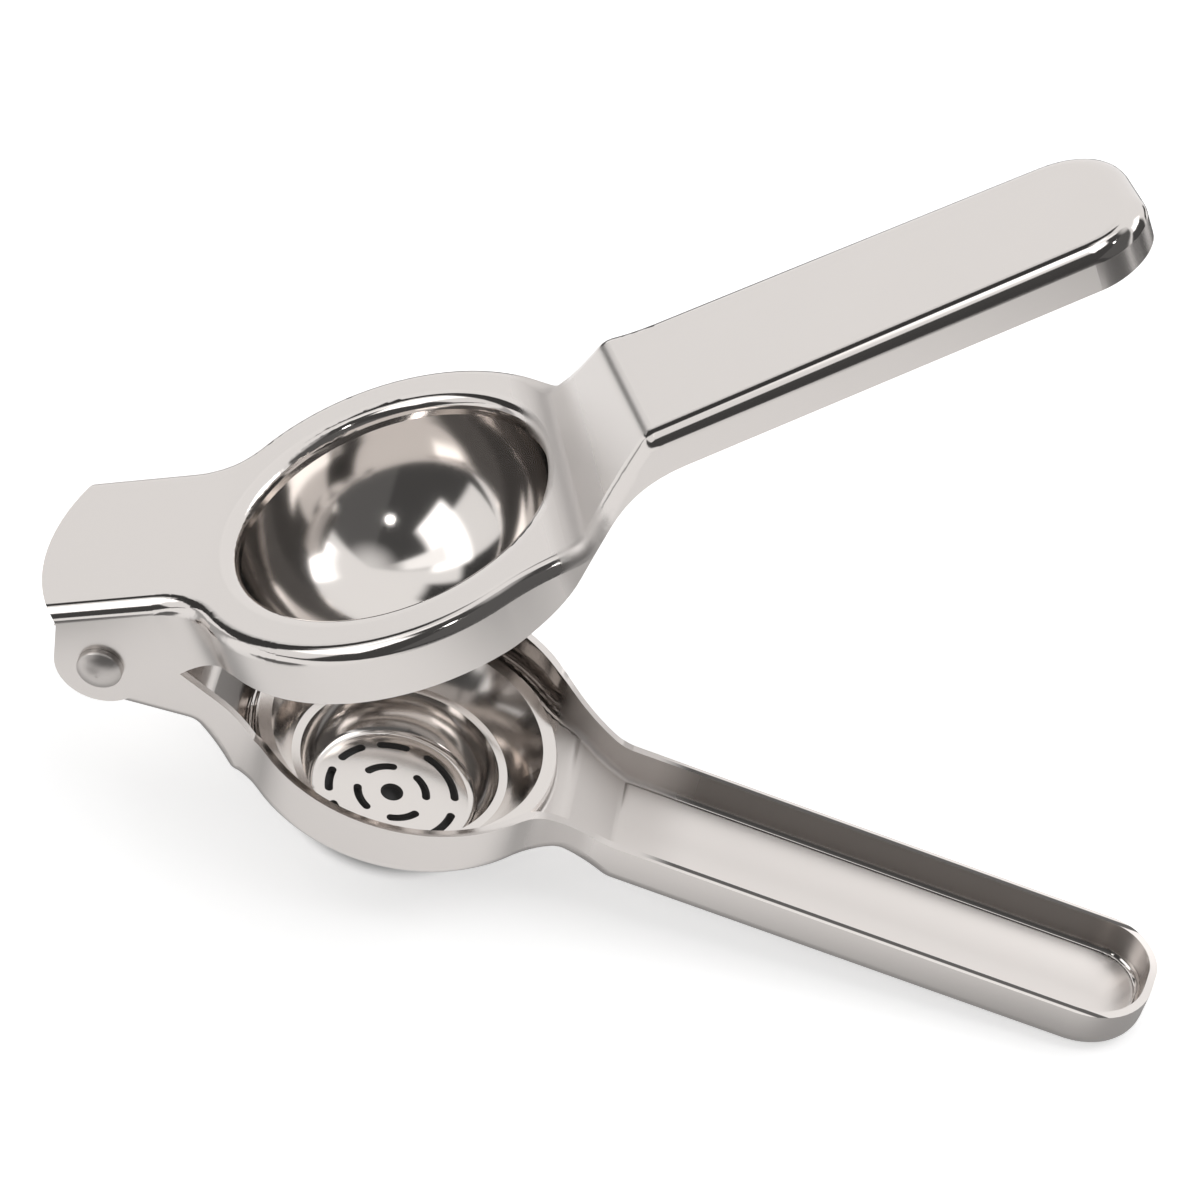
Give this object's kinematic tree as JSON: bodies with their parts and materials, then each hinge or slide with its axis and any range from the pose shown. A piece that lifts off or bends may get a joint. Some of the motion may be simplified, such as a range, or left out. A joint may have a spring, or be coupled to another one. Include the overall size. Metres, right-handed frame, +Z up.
{
  "type": "hinged lemon squeezer",
  "caption": "Hinged hand squeezer for citrus halves: a deep polished press bowl on the upper arm closes over a slotted strainer cup on the lower arm.",
  "frame": {"origin": "on the table, under the middle of the bounding box of the squeezer as it stands open", "axes": "+X from the hinge to the handles, +Y along the hinge pin to the far side, +Z up"},
  "size_m": [0.2342, 0.0824, 0.1932],
  "materials": {
    "arm_steel": "satin plate with polished bends",
    "cup_steel": "mirror polished",
    "rivet_steel": "turned, dull"
  },
  "bodies": {
    "strainer_side": {"strainer_arm": "arm_steel", "strainer_cup": "cup_steel", "rivet_pin": "rivet_steel", "rivet_cap": "rivet_steel", "spacer_sleeve": "rivet_steel", "washer_near": "rivet_steel", "washer_far": "rivet_steel"},
    "press_side": {"press_arm": "arm_steel", "press_bowl": "cup_steel"}
  },
  "joints": [
    {"name": "hinge", "type": "hinge", "parent": "strainer_side", "child": "press_side", "pos_m": [-0.10063, 0, 0.03274], "axis": [0, -1, 0], "range_deg": [-36.3, 69.6]}
  ]
}
